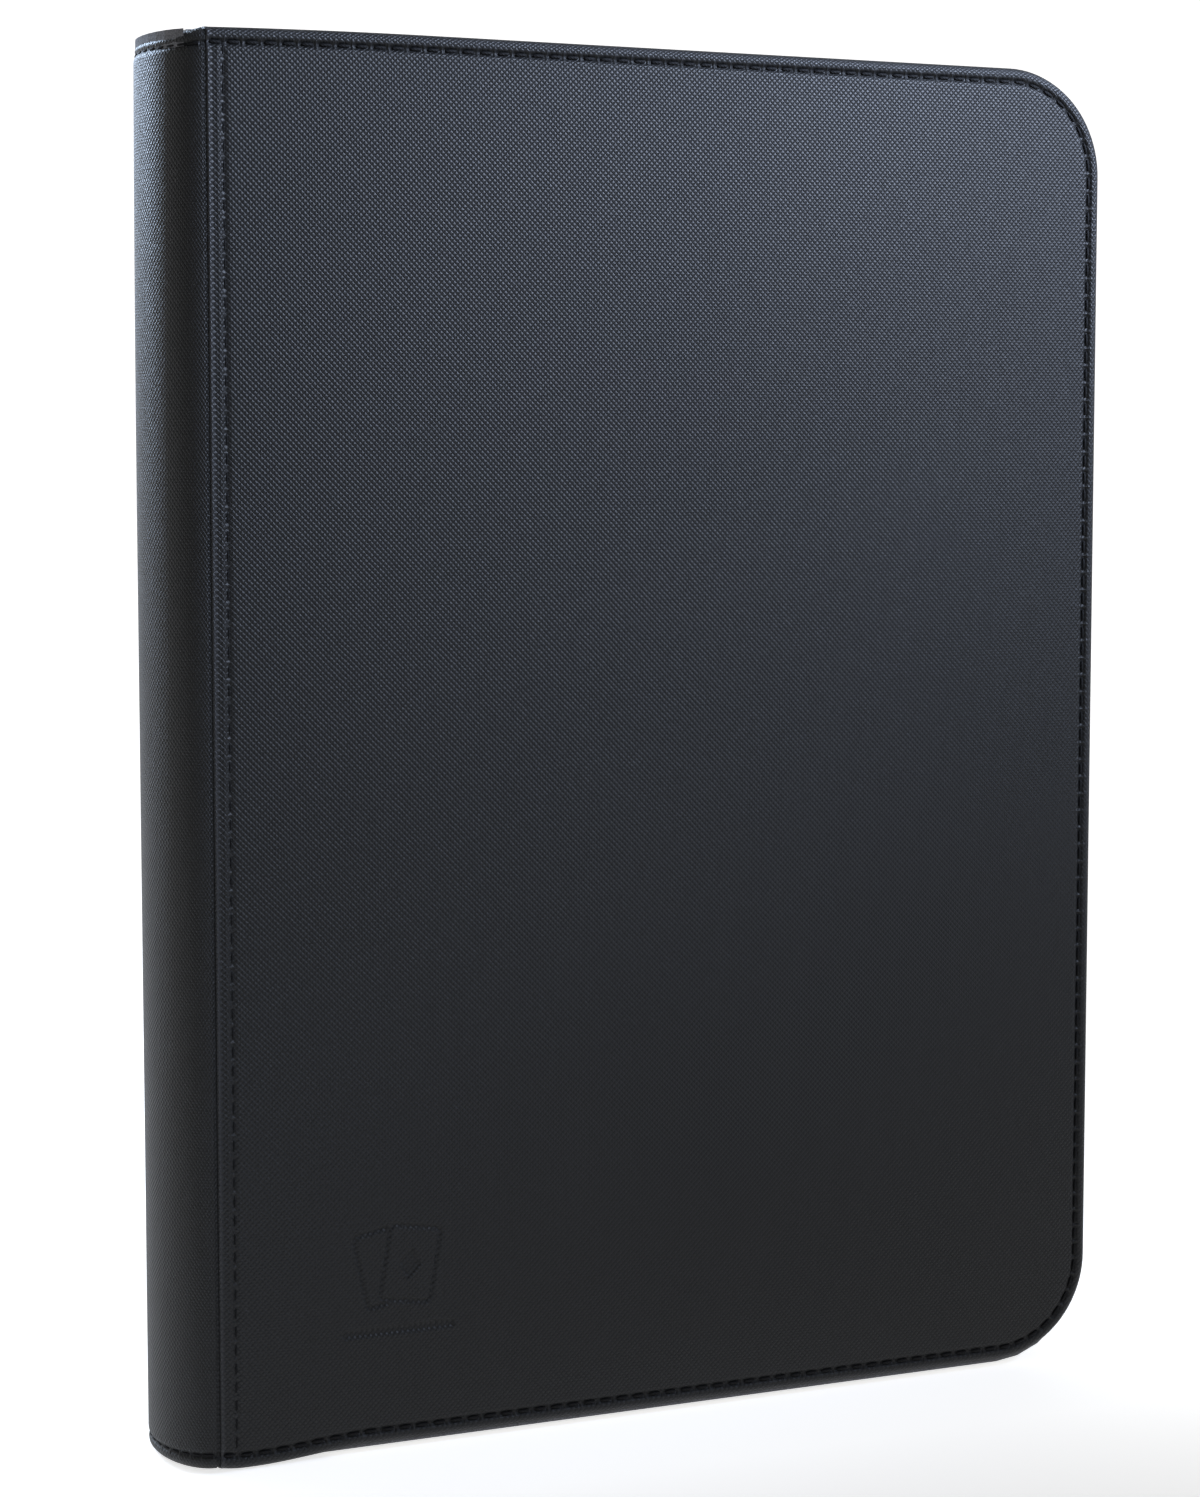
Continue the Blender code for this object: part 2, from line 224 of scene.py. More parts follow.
def foam_finish():
    """Open-cell foam, charcoal, with pores 0.4 mm wide."""
    paint = Paint("charcoal_foam", (0.11, 0.11, 0.12), 0.95)
    inputs = {"Vector": paint.place(), "Scale": 2600.0}
    pores = paint.node("ShaderNodeTexVoronoi", {"feature": "F1"}, inputs)
    paint.colour(pores, (0.05, 0.05, 0.055), (0.16, 0.16, 0.17))
    paint.bump(pores, 0.00015)
    return paint.material


def dress(node, material):
    """Give a CAD node one material."""
    mesh = frame["nodes"][node].data
    mesh.materials.clear()
    mesh.materials.append(material)


greyboard = greyboard_finish()
charcoal_foam = foam_finish()
for panel in ("front_cover", "rear_cover", "spine"):
    dress(panel + "_board", greyboard)
    dress(panel + "_padding", charcoal_foam)

# ----------------------------------------
# The cover skins. One sheet of black leatherette, embossed with a crossed
# diagonal grain, is wrapped over foam and board, turned in and sewn all
# round. A device of two fanned cards is stamped on the front.
fore_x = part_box("front_cover_skin")[1].x
corner_radius = 0.027
cover_depth = 0.0055
seam_inset = 0.0036
seam_width = 0.00070
seam_depth = 0.00055
crease_seam_depth = 0.00025
roll_width = 0.0019
roll_drop = 0.0021
crease_roll_width = 0.0004
crease_roll_drop = 0.0003
crease_seam = 0.0044
crown_height = 0.0010
crown_reach = 0.016
border_lines = 0.001 * np.array([
    0.0, 0.08, 0.2, 0.4, 0.7, 1.1, 1.5, 1.9, 2.3, 2.65, 2.95, 3.25, 3.6,
    3.95, 4.25, 4.55, 4.9, 5.4, 6.1, 7.0])
inset_lines = np.concatenate([border_lines, np.linspace(0.007, corner_radius, 14)[1:]])
middle_columns = 138
middle_rows = 192
arc_columns = 24
emblem_centre = (crease_x + 0.134 * height, 0.134 * height)
emblem_spread = 0.0155
emblem_split = 4
rule_drop = 0.0165
start_x = crease_x + 0.0003
flat_x = fore_x - corner_radius
seam_radius = corner_radius - seam_inset
bottom_run = flat_x - start_x
corner_run = seam_radius * math.pi / 2
fore_run = height - 2 * corner_radius
seam_run = 2 * bottom_run + 2 * corner_run + fore_run
stitch_pitch = seam_run / round(seam_run / 0.0045)


def grain(paint, across, up, pitch, drift):
    """Two sets of diagonal grooves crossing at right angles, leaving small raised lozenges."""
    step = math.pi / (pitch * math.sqrt(2))
    rising = ((across + up) * step + drift).sine().size()
    falling = ((across - up) * step + drift).sine().size()
    return rising.least(falling) ** 0.6


def leatherette_finish(name, sewn, relief_depth):
    """Black leatherette. Along a seam the base colour is painted darker under each stitch, as shade
    in the furrow, and lighter on the puckers between stitches, as a highlight.
    """
    paint = Paint(name, (0.0155, 0.0165, 0.019), 0.47)
    paint.set("Specular IOR Level", 0.27)
    across, up = paint.map("skin")
    place = paint.place()
    drift = (paint.noise(place, 220.0) - 0.5) * 1.1
    weave = grain(paint, across, up, 0.00098, drift)
    fleck = paint.noise(place, 2600.0, 2.0)
    cloud = paint.noise(place, 14.0)
    rub = paint.mark("rub")
    relief = weave * (0.8 + 0.3 * cloud) + fleck * 0.2
    shade = weave * 0.62 + cloud * 0.3
    for seam, pull in sewn.items():
        along, away = paint.map(seam)
        under = (away / 0.00078) * (away / 0.00078)
        under = pull / (1.0 + under * under)
        gap = ((along * math.pi).sine().size() * 2.6).least(1.0)
        pucker_and_highlight = away.band(0.0, 0.0024) * (1.0 - gap) * pull
        relief = relief * (1.0 - under * 0.5) - under * gap * 1.1 + pucker_and_highlight * 0.9
        # Painted shade in the furrow under each stitch, and a painted highlight on the puckers
        # between stitches.
        shade = shade - under * gap * 0.45 + pucker_and_highlight * 0.45
    paint.bump(relief, relief_depth, 0.9)
    skin = paint.mix(shade.most(0.0), (0.0020, 0.0021, 0.0024), (0.0088, 0.0091, 0.0097))
    # Painted highlight: the rub mark lightens the base colour, a little on the worn rolled edges
    # and most on the crease's ridge, where it stands for sheen.
    polish_and_sheen = rub * (0.35 + 0.65 * cloud)
    paint.colour(polish_and_sheen, skin, (0.024, 0.025, 0.028))
    paint.set("Roughness", 0.52 - weave * 0.07 + cloud * 0.05 - rub * 0.08)
    return paint.material


def joined(*parts):
    """Arrays of coordinates made one array of points."""
    return np.stack(parts, axis=-1)


def fade(distance, reach):
    """1 at no distance, falling straight to 0 a reach away."""
    return np.clip(1.0 - distance / reach, 0.0, 1.0)


def roll_over(distance, width, drop):
    """How far the skin has dropped at a distance from the edge: a quarter of an ellipse."""
    share = fade(distance, width)
    return drop * (1.0 - np.sqrt(1.0 - share**2))


def furrow(distance, depth=seam_depth):
    """The furrow that the thread pulls down: a Gaussian across."""
    return depth * np.exp(-((distance / seam_width) ** 2))


def rounded_box(x, z, half_x, half_z, radius):
    """Signed distance to a rectangle with round corners, negative inside."""
    reach_x = np.abs(x) - half_x + radius
    reach_z = np.abs(z) - half_z + radius
    outside = np.hypot(np.maximum(reach_x, 0.0), np.maximum(reach_z, 0.0))
    return outside + np.minimum(np.maximum(reach_x, reach_z), 0.0) - radius


def emblem_depth(x, z):
    """The stamped device: outlines of two fanned cards, a pip on the front one, a rule below."""
    depth = np.zeros_like(x)
    covered = np.full(x.shape, False)
    for turn, shift in ((-0.16, 0.0030), (0.20, -0.0034)):
        cosine = math.cos(turn)
        sine = math.sin(turn)
        local_x = (x - shift) * cosine + z * sine
        local_z = -(x - shift) * sine + z * cosine
        card = rounded_box(local_x, local_z, 0.0066, 0.0094, 0.0014)
        line = np.clip(1.25 - np.abs(card) / 0.00055, 0.0, 1.0)
        depth = np.maximum(depth, np.where(covered, 0.0, line))
        if shift > 0:
            pip = np.abs(local_x) + np.abs(local_z) * 0.72 - 0.0028
            depth = np.maximum(depth, np.clip(0.5 - pip / 0.0005, 0.0, 1.0))
        covered = covered | (card < 0.0010)
    rule = rounded_box(x, z + rule_drop, 0.0145, 0.0009, 0.0009)
    return 0.00042 * np.maximum(depth, np.clip(0.5 - rule / 0.0005, 0.0, 1.0))


def split_lines(lines, low, high, parts):
    """Cut every gap between lines that lies from low to high into equal parts."""
    fine = [lines[:1]]
    for begin, end in zip(lines, lines[1:]):
        count = parts if low < (begin + end) / 2 < high else 1
        fine.append(np.linspace(begin, end, count + 1)[1:])
    return np.concatenate(fine)


def quads(rows, columns, closed=False):
    """Corner numbers of the cells of a grid, whose columns may close into a ring."""
    last = columns if closed else columns - 1
    row, column = np.meshgrid(np.arange(rows - 1), np.arange(last), indexing="ij")
    after = (column + 1) % columns
    corners = [row * columns + column, row * columns + after]
    corners += [(row + 1) * columns + after, (row + 1) * columns + column]
    return np.stack(corners, axis=-1).reshape(-1, 4)


def add_piece(name, points, faces, material, maps=None, marks=None):
    """Make an object from arrays of points and faces, with maps and marks given per point."""
    mesh = bpy.data.meshes.new(name)
    mesh.from_pydata(points.tolist(), [], faces.tolist())
    loops = np.empty(len(mesh.loops), dtype=np.int32)
    mesh.loops.foreach_get("vertex_index", loops)
    for key, values in (maps or {}).items():
        layer = mesh.uv_layers.new(name=key)
        layer.data.foreach_set("uv", values[loops].astype(np.float32).ravel())
    for key, values in (marks or {}).items():
        mark = mesh.attributes.new(key, "FLOAT", "POINT")
        mark.data.foreach_set("value", values.astype(np.float32).ravel())
    mesh.materials.append(material)
    mesh.shade_smooth()
    made = bpy.data.objects.new(name, mesh)
    bpy.context.scene.collection.objects.link(made)
    return made


def close_seams(piece, gap=1e-6):
    """Weld points that lie on each other, and turn every face outwards."""
    form = bmesh.new()
    form.from_mesh(piece.data)
    bmesh.ops.remove_doubles(form, verts=form.verts, dist=gap)
    bmesh.ops.recalc_face_normals(form, faces=form.faces)
    form.to_mesh(piece.data)
    form.free()
    return piece


def seam_place(x, z):
    """How far along the seam a point lies, in stitches, from the crease round to the crease."""
    low_turn = np.arctan2(z - corner_radius, x - flat_x) + math.pi / 2
    high_turn = np.arctan2(z - height + corner_radius, x - flat_x)
    to_fore = bottom_run + corner_run
    flat = x <= flat_x
    where = [flat & (z < height / 2), flat, z < corner_radius, z > height - corner_radius]
    runs = [x - start_x, seam_run - (x - start_x), bottom_run + low_turn * seam_radius]
    runs += [to_fore + fore_run + high_turn * seam_radius]
    return np.select(where, runs, to_fore + z - corner_radius) / stitch_pitch


def main_patch(columns, rows):
    """The rectangle beside the crease, as x, z and the distance to the nearest sewn side."""
    z, x = np.meshgrid(rows, columns, indexing="ij")
    return x, z, np.minimum(z, height - z)


def fore_patch(rows):
    """The strip beside the fore edge."""
    z, x = np.meshgrid(rows, fore_x - inset_lines[::-1], indexing="ij")
    return x, z, fore_x - x


def corner_patch(centre_z, first):
    """A quarter disc in a round corner, made of arcs about its centre."""
    angle = np.radians(np.linspace(first, first + 90.0, arc_columns + 1))
    inset, turn = np.meshgrid(inset_lines, angle, indexing="ij")
    x = flat_x + (corner_radius - inset) * np.cos(turn)
    return x, centre_z + (corner_radius - inset) * np.sin(turn), inset


def cover_edge(columns, rows, inner):
    """The edge of the cover, once round, as x, z and the direction that leads inwards."""
    turns = np.radians(np.linspace(-90.0, 90.0, 2 * arc_columns + 1))
    low = turns[: arc_columns + 1]
    high = turns[arc_columns:]
    bottom = columns[:-1]
    first = np.where(bottom <= start_x, 1.0, 0.0)
    zeros = np.zeros(len(bottom))
    plain = np.zeros(len(inner) - 2)
    side = np.zeros(len(rows) - 2)
    x = [bottom, flat_x + corner_radius * np.cos(low), plain + fore_x]
    z = [zeros, corner_radius + corner_radius * np.sin(low), inner[1:-1]]
    x += [flat_x + corner_radius * np.cos(high), bottom[::-1], side + start_x]
    z += [height - corner_radius + corner_radius * np.sin(high), zeros + height, rows[-2:0:-1]]
    to_x = [first, -np.cos(low), plain - 1.0]
    to_z = [zeros + 1.0, -np.sin(low), plain]
    to_x += [-np.cos(high), first[::-1], side + 1.0]
    to_z += [-np.sin(high), zeros - 1.0, side]
    return [np.concatenate(values) for values in (x, z, to_x, to_z)]


def swell(x, z):
    """The crown of the padding: it rises away from every side, with slow hollows in it."""
    rise = crown_height * np.ones_like(x)
    for distance in (x - crease_x, fore_x - x, z, height - z):
        rise = rise * (1.0 - np.exp(-np.maximum(distance - seam_inset, 0.0) / crown_reach))
    slow = np.sin(x * 41.0 + 0.6) * np.sin(z * 27.0 + 1.1) + 0.5 * np.sin(x * 23.0 - z * 35.0)
    return rise * (1.0 + 0.16 * slow)


def settle(x, z):
    """The lower edge rises a little away from the spine, and the upper edge dips beside it."""
    away = np.clip((x - crease_x - 0.009) / 0.030, 0.0, 1.0)
    away = away * away * (3.0 - 2.0 * away)
    pinch = fade(x - crease_x, 0.007)
    lift = (0.0018 * away + 0.0008 * pinch**2) * fade(z, 0.06)
    near = fade(x - crease_x, 0.055)
    dip = 0.0008 * near * near * fade(height - z, 0.06)
    return z + lift - dip


def skin_height(x, z, side, stamped=False):
    """The outer surface over the cover, as a distance from the middle of the binder."""
    from_crease = x - start_x
    roll = np.maximum(
        roll_over(side, roll_width, roll_drop),
        roll_over(from_crease, crease_roll_width, crease_roll_drop),
    )
    ridge = 0.00030 * np.exp(-(((from_crease - 0.0005) / 0.00040) ** 2))
    fold = 0.00022 * np.exp(-(((from_crease - 0.0029) / 0.0007) ** 2))
    inside = np.clip((side - seam_inset) / 0.001, 0.0, 1.0)
    beside = furrow(x - crease_x - crease_seam, crease_seam_depth) * inside
    dip = np.maximum(furrow(side - seam_inset), beside)
    level = face_y - roll + (ridge + fold * inside) * (roll < roll_drop) - dip + swell(x, z)
    if stamped:
        level = level - emblem_depth(x - emblem_centre[0], z - emblem_centre[1])
    return level


def rub_and_sheen_mark(side, from_crease):
    """Where the skin is lighter and a little glossier: a little on the rolled edges, as wear with
    some painted sheen, and most on the crease's ridge, as a painted highlight.
    """
    edge = 0.3 * np.exp(-(((side - 0.0011) / 0.0009) ** 2))
    fold = np.exp(-(((from_crease - 0.0004) / 0.0006) ** 2))
    return np.maximum(edge, fold)


def edge_level(x, z):
    """Where the wall of the cover begins, below the rolled edge."""
    beside = roll_over(np.minimum(z, height - z), roll_width, roll_drop)
    crease_drop = np.maximum(beside, crease_roll_drop)
    return face_y - np.where(x <= start_x, crease_drop, roll_drop) + swell(x, z)


def cover_skin(name, sign, stamped, material):
    """Lay the height field over the patches, then carry the edge down the wall and turn it in."""
    middle = np.linspace(start_x + 0.007, flat_x, middle_columns + 1)[1:]
    columns = np.concatenate([start_x + border_lines, middle])
    inner = np.linspace(corner_radius, height - corner_radius, middle_rows + 1)
    if stamped:
        x, z = emblem_centre
        columns = split_lines(columns, x - emblem_spread, x + emblem_spread, emblem_split)
        inner = split_lines(inner, z - rule_drop - 0.0022, z + 0.011, emblem_split)
    rows = np.concatenate([inset_lines[:-1], inner, height - inset_lines[-2::-1]])
    patches = [main_patch(columns, rows), fore_patch(inner)]
    patches += [corner_patch(corner_radius, -90.0), corner_patch(height - corner_radius, 0.0)]
    points, faces, rubs_and_sheen, seams = [], [], [], []
    count = 0
    for x, z, side in patches:
        level = sign * skin_height(x, z, side, stamped)
        points.append(joined(x, level, settle(x, z)).reshape(-1, 3))
        faces.append(quads(*x.shape) + count)
        rubs_and_sheen.append(rub_and_sheen_mark(side, x - start_x).ravel())
        seams.append(joined(seam_place(x, z), side - seam_inset).reshape(-1, 2))
        count += x.size
    x, z, to_x, to_z = cover_edge(columns, rows, inner)
    rim = edge_level(x, z)
    hem_y = face_y - cover_depth
    # Each step is a distance inwards and a share of the wall's height.
    turned = [(0.0, 0.0), (0.0, 0.35), (0.0, 0.7), (0.0, 0.92), (0.0003, 0.985), (0.0009, 1.0)]
    turned += [(0.0013, 0.99), (0.0013, 0.9)]
    for inset, share in turned:
        edge_x = x + to_x * inset
        edge_z = z + to_z * inset
        level = sign * (rim + (hem_y - rim) * share)
        points.append(joined(edge_x, level, settle(edge_x, edge_z)))
        # The turned wall gets a little of the same lightening, a painted sheen.
        rubs_and_sheen.append(np.full(len(x), 0.15 - 0.12 * share))
        seams.append(joined(seam_place(x, z), np.full(len(x), -seam_inset)))
    faces.append(quads(len(turned), len(x), closed=True) + count)
    points = np.concatenate(points)
    depth = np.clip(face_y - np.abs(points[:, 1]), 0.0, None)
    up = points[:, 2] + depth * np.clip((points[:, 2] - height / 2) / 0.02, -1.0, 1.0)
    across = points[:, 0]
    crease_line = joined(points[:, 2] / stitch_pitch, across - crease_x - crease_seam)
    # The seam beside the crease stops short of the seams along the ends.
    near_end = np.minimum(points[:, 2], height - points[:, 2]) < seam_inset + 0.0006
    crease_line[:, 1] += np.where(near_end, 0.004, 0.0)
    maps = {"skin": joined(across, up), "seam": np.concatenate(seams), "crease": crease_line}
    marks = {"rub": np.concatenate(rubs_and_sheen)}
    piece = add_piece(name, points, np.concatenate(faces), material, maps, marks)
    return close_seams(piece, 2e-6)


cover_leather = leatherette_finish("cover_leatherette", {"seam": 1.0, "crease": 0.35}, 0.00018)
covers = (("front_cover", -1), ("rear_cover", 1))
for body, sign in covers:
    skin = cover_skin(body + "_leatherette", sign, sign < 0, cover_leather)
    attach(skin, body)
    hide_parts(body + "_skin")


# ----------------------------------------
# The sewing. Black bonded thread goes round each cover through skin, board,
# lining and zip tape, and up beside the crease. Each stitch is a short
# plump bridge of twisted thread that dives into the skin at both ends.
thread_radius = 0.00034
thread_sides = 6
stitch_length = 0.0036
stitch_rings = 7
stitch_bow = 0.00022


def thread_finish():
    """Bonded polyester: plies wind round the thread, and their crowns are painted lighter as a
    faint sheen.
    """
    paint = Paint("bonded_thread", (0.006, 0.006, 0.007), 0.7)
    paint.set("Specular IOR Level", 0.12)
    along, around = paint.map("thread")
    plies_and_sheen = ((along + around * 1.4) * (2 * math.pi / 0.00085)).sine() * 0.5 + 0.5
    fuzz = paint.noise(paint.place(), 4000.0)
    # Painted sheen: the base colour is lighter on the ply crowns.
    paint.colour(plies_and_sheen, (0.002, 0.002, 0.002), (0.009, 0.009, 0.010))
    paint.bump(plies_and_sheen + fuzz * 0.3, 0.00006)
    return paint.material


def unit(vectors):
    """Scale every vector to length one."""
    return vectors / np.linalg.norm(vectors, axis=-1, keepdims=True)


def threads(name, centres, along, outward, material, plump=1.0):
    """A capsule for each stitch: its radius follows a rounded profile, its middle bows outwards."""
    share = np.linspace(-1.0, 1.0, stitch_rings)
    turn = np.arange(thread_sides) * (2 * math.pi / thread_sides)
    along = unit(along)
    outward = unit(outward - along * (outward * along).sum(axis=-1, keepdims=True))
    across = np.cross(along, outward)
    radius = plump * thread_radius * np.sqrt(1.0 - np.abs(share) ** 3.0)
    bow = plump * stitch_bow * (1.0 - 2.2 * share**4)
    run = share * stitch_length / 2
    rise = bow[:, None] + np.outer(radius, np.sin(turn))
    breadth = 1.25 * np.outer(radius, np.cos(turn))
    place = centres[:, None, None] + along[:, None, None] * run[:, None, None]
    place = place + outward[:, None, None] * rise[..., None]
    place = place + across[:, None, None] * breadth[..., None]
    count = len(centres)
    each = quads(stitch_rings, thread_sides, closed=True)
    first = np.arange(count) * (stitch_rings * thread_sides)
    faces = (each + first[:, None, None]).reshape(-1, 4)
    lengths, arounds = np.meshgrid(run, turn * thread_radius, indexing="ij")
    flat = np.tile(joined(lengths.ravel(), arounds.ravel()), (count, 1))
    piece = add_piece(name, place.reshape(-1, 3), faces, material, {"thread": flat})
    return close_seams(piece)


def round_the_edge(run, inset, first_x, radius_line):
    """The place a run along a line that goes along the bottom, round the fore edge and back.

    The line of reference lies radius_line inside the edge, and the place lies inset inside it.
    """
    radius = corner_radius - radius_line
    straight = flat_x - first_x
    quarter = radius * math.pi / 2
    total = 2 * straight + 2 * quarter + fore_run
    turned = np.clip(run - straight, 0.0, quarter)
    turned = turned + np.clip(run - straight - quarter - fore_run, 0.0, quarter)
    angle = turned / radius - math.pi / 2
    centre_x = flat_x - np.clip(straight - run, 0.0, None)
    centre_x = centre_x - np.clip(run - total + straight, 0.0, None)
    centre_z = corner_radius + np.clip(run - straight - quarter, 0.0, fore_run)
    reach = corner_radius - inset
    return centre_x + reach * np.cos(angle), centre_z + reach * np.sin(angle), angle


thread = thread_finish()
for body, sign in covers:
    runs = (np.arange(round(seam_run / stitch_pitch)) + 0.5) * stitch_pitch
    x, z, angle = round_the_edge(runs, seam_inset, start_x, seam_inset)
    rises = (np.arange(1, round(height / stitch_pitch) - 1) + 0.5) * stitch_pitch
    beside = np.full(len(rises), crease_x + crease_seam)
    # Each row has its line, its distance from the side, its direction, and how proud and how
    # plump its stitches are.
    rows = (
        ("edge", x, z, seam_inset, -np.sin(angle), np.cos(angle), 0.0001, 1.0),
        ("crease", beside, rises, 0.03, beside * 0.0, beside * 0.0 + 1.0, -0.00012, 0.62),
    )
    for word, x, z, inset, along_x, along_z, proud, plump in rows:
        level = sign * (skin_height(x, z, np.full(len(x), inset)) + proud)
        centres = joined(x, level, settle(x, z))
        along = joined(along_x, x * 0.0, along_z)
        outward = np.broadcast_to(np.array([0.0, float(sign), 0.0]), along.shape)
        seam = threads(f"{body}_{word}_stitches", centres, along, outward, thread, plump)
        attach(seam, body)

# ----------------------------------------
# The spine's skin. The same leatherette goes round a half-oval foam core, is
# sewn across at both ends at the level of the covers' seams, and is folded
# in at the two creases.
spine_columns = 72
spine_around = 0.0285
spine_bulge = crease_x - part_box("spine_skin")[0].x
spine_arc = math.radians(75)
crease_tuck = 0.0004
crease_tuck_drop = 0.0001
far_from_crease = 0.01


def spine_settle(share, z):
    """The spine's ends: the lower one lifts beside the creases, the upper one sinks."""
    lift = 0.0009 * share**2 * fade(z, 0.05)
    sag = (0.0010 + 0.0006 * (1.0 - share**4)) * fade(height - z, 0.05)
    return z + lift - sag


def spine_section(share, z):
    """An arc from the front crease to the rear one, rounded down and settled at both ends."""
    low = fade(z, 0.0040)
    high = fade(height - z, 0.0046)
    rounding = 0.12 * (1.0 - np.sqrt(1.0 - low**2)) + 0.32 * (1.0 - np.sqrt(1.0 - high**2))
    side = np.minimum(z, height - z)
    drop = roll_over(side, roll_width, roll_drop) + furrow(side - seam_inset)
    tuck = roll_over((1.0 - np.abs(share)) * spine_around, crease_tuck, crease_tuck_drop)
    angle = share * spine_arc
    slack = 0.0007 * np.clip((z - 0.22) / 0.12, 0.0, 1.0) ** 2
    reach = (spine_bulge - 0.0004) * (1.0 - rounding) - drop - slack
    bow = (np.cos(angle) - math.cos(spine_arc)) / (1.0 - math.cos(spine_arc))
    x = crease_x - 0.0004 - reach * bow
    y = (face_y - drop * 0.8 - tuck) * np.sin(angle) / math.sin(spine_arc)
    return x, y, spine_settle(share, z)


def shell(name, outer, inner, material, maps=None, marks=None):
    """A thin closed piece between two grids of equal size, with its rims joined.

    Maps and marks are given for one grid and serve both.
    """
    rows, columns = outer.shape[:2]
    size = rows * columns
    ring = np.concatenate([
        np.arange(columns),
        np.arange(1, rows) * columns + columns - 1,
        (rows - 1) * columns + np.arange(columns - 2, -1, -1),
        np.arange(rows - 2, 0, -1) * columns,
    ])
    after = np.roll(ring, -1)
    rim = joined(ring, ring + size, after + size, after)
    grid = quads(rows, columns)
    faces = np.concatenate([grid, grid[:, ::-1] + size, rim])
    points = np.concatenate([outer.reshape(-1, 3), inner.reshape(-1, 3)])
    maps = {key: np.tile(value.reshape(-1, 2), (2, 1)) for key, value in (maps or {}).items()}
    marks = {key: np.tile(value.ravel(), 2) for key, value in (marks or {}).items()}
    return close_seams(add_piece(name, points, faces, material, maps, marks), 1e-7)


def rising_lines(count):
    """Grid lines from the lower to the upper end, close together at the sewn ends."""
    middle = np.linspace(border_lines[-1], height - border_lines[-1], count)[1:-1]
    return np.concatenate([border_lines, middle, height - border_lines[::-1]])


def spine_skin_piece(material):
    """Carry the section up the spine, and turn it in over the two ends."""
    shares = np.linspace(-1.0, 1.0, spine_columns + 1)
    shares = np.sign(shares) * (1.0 - (1.0 - np.abs(shares)) ** 1.25)
    z, share = np.meshgrid(rising_lines(131), shares, indexing="ij")
    x, y, settled = spine_section(share, z)
    side = np.minimum(z, height - z)
    # On the spine the mark lightens only the rolled ends: wear with some painted sheen.
    rub = rub_and_sheen_mark(side, far_from_crease)
    rings = []
    for end, sign in ((0, 1.0), (-1, -1.0)):
        for depth, pull in ((0.0002, 0.5), (0.0006, 0.15)):
            ring_x = crease_x - 0.0012 + (x[end] - crease_x + 0.0012) * pull
            ring_z = settled[end] + sign * depth
            rings.append(joined(ring_x, y[end] * pull, ring_z)[None])
    outer = joined(x, y, settled)
    outer = np.concatenate([rings[1], rings[0], outer, rings[2], rings[3]])
    inner = outer.copy()
    inner[..., 0] = np.minimum(inner[..., 0] + 0.0005, crease_x - 0.0003)
    inner[..., 1] *= 0.975
    inner[..., 2] = height / 2 + (inner[..., 2] - height / 2) * 0.997
    rub = np.pad(rub, ((2, 2), (0, 0)), mode="edge")
    side = np.pad(side, ((2, 2), (0, 0)), mode="edge")
    around = np.broadcast_to(shares * spine_around, side.shape)
    maps = {"skin": joined(around, outer[..., 2])}
    maps["seam"] = joined(around / stitch_pitch, side - seam_inset)
    return shell("spine_leatherette", outer, inner, material, maps, {"rub": rub})


spine_leather = leatherette_finish("spine_leatherette", {"seam": 1.0}, 0.00021)
spine_skin = spine_skin_piece(spine_leather)
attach(spine_skin, "spine")
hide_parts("spine_skin")

stitch_count = 12
shares = (np.arange(stitch_count) - (stitch_count - 1) / 2) * stitch_pitch / spine_around
shares = np.tile(shares, 2)
ends_z = np.repeat([seam_inset, height - seam_inset], stitch_count)
centres = np.stack(spine_section(shares, ends_z), axis=-1)
along = np.stack(spine_section(shares + 0.01, ends_z), axis=-1) - centres
outward = joined(-along[:, 1], along[:, 0], np.zeros(len(along)))
sunk = centres - unit(outward) * 0.0001
spine_stitches = threads("spine_stitches", sunk, along, outward, thread, 0.8)
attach(spine_stitches, "spine")

# ----------------------------------------
# The creases. Between the spine and each cover the leatherette has nothing
# behind it but a strip of cloth, and folds there as the cover opens. It lies
# in a shallow valley beside the raised edge of the cover.
valley = 0.001 * np.array([
    (-1.2, 0.70), (-0.9, 0.44), (-0.6, 0.30), (-0.3, 0.22), (0.0, 0.19), (0.25, 0.21),
    (0.45, 0.30), (0.6, 0.45), (0.8, 0.70)])


def crease_strip(name, sign, material):
    """The valley's section carried up the crease, sinking with the rolled ends."""
    rows = rising_lines(90)
    rows = rows[(rows > 0.0003) & (rows < height - 0.0003)]
    z, place = np.meshgrid(rows, np.arange(len(valley)), indexing="ij")
    side = np.minimum(z, height - z)
    sink = roll_over(side, roll_width, roll_drop * 0.9) + 0.6 * furrow(side - seam_inset)
    x = crease_x + valley[place, 0]
    depth = valley[place, 1] + sink
    outer = joined(x, sign * (face_y - depth), spine_settle(1.0, z))
    inner = outer - np.array([0.0, sign * 0.0004, 0.0])
    maps = {"skin": joined(x, z), "seam": joined(z / stitch_pitch, side - seam_inset)}
    return shell(name, outer, inner, material, maps, {"rub": np.zeros_like(x)})


for body, sign in covers:
    word = body.split("_")[0]
    strip = crease_strip(word + "_crease", sign, spine_leather)
    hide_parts(word + "_hinge_strip")
    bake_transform(strip)

# ----------------------------------------
# The linings. Thin woven polyester is glued inside both covers and down the
# spine, and lies flat on the boards, a little uneven over the glue.


def lining_finish():
    """Plain-woven polyester: fine yarns over and under each other, half a millimetre apart."""
    paint = Paint("woven_lining", (0.020, 0.020, 0.022), 0.7)
    across, up = paint.map("cloth")
    step = math.pi / 0.00045
    warp = (across * step).sine()
    weft = (up * step).sine()
    yarns = (warp * weft) * 0.5 + 0.5
    slubs = paint.noise(paint.place(), 700.0)
    share = yarns * slubs * 1.6
    paint.colour(share, (0.010, 0.010, 0.011), (0.040, 0.040, 0.043))
    paint.set("Roughness", 0.62 + slubs * 0.2)
    paint.bump(yarns, 0.00010)
    return paint.material


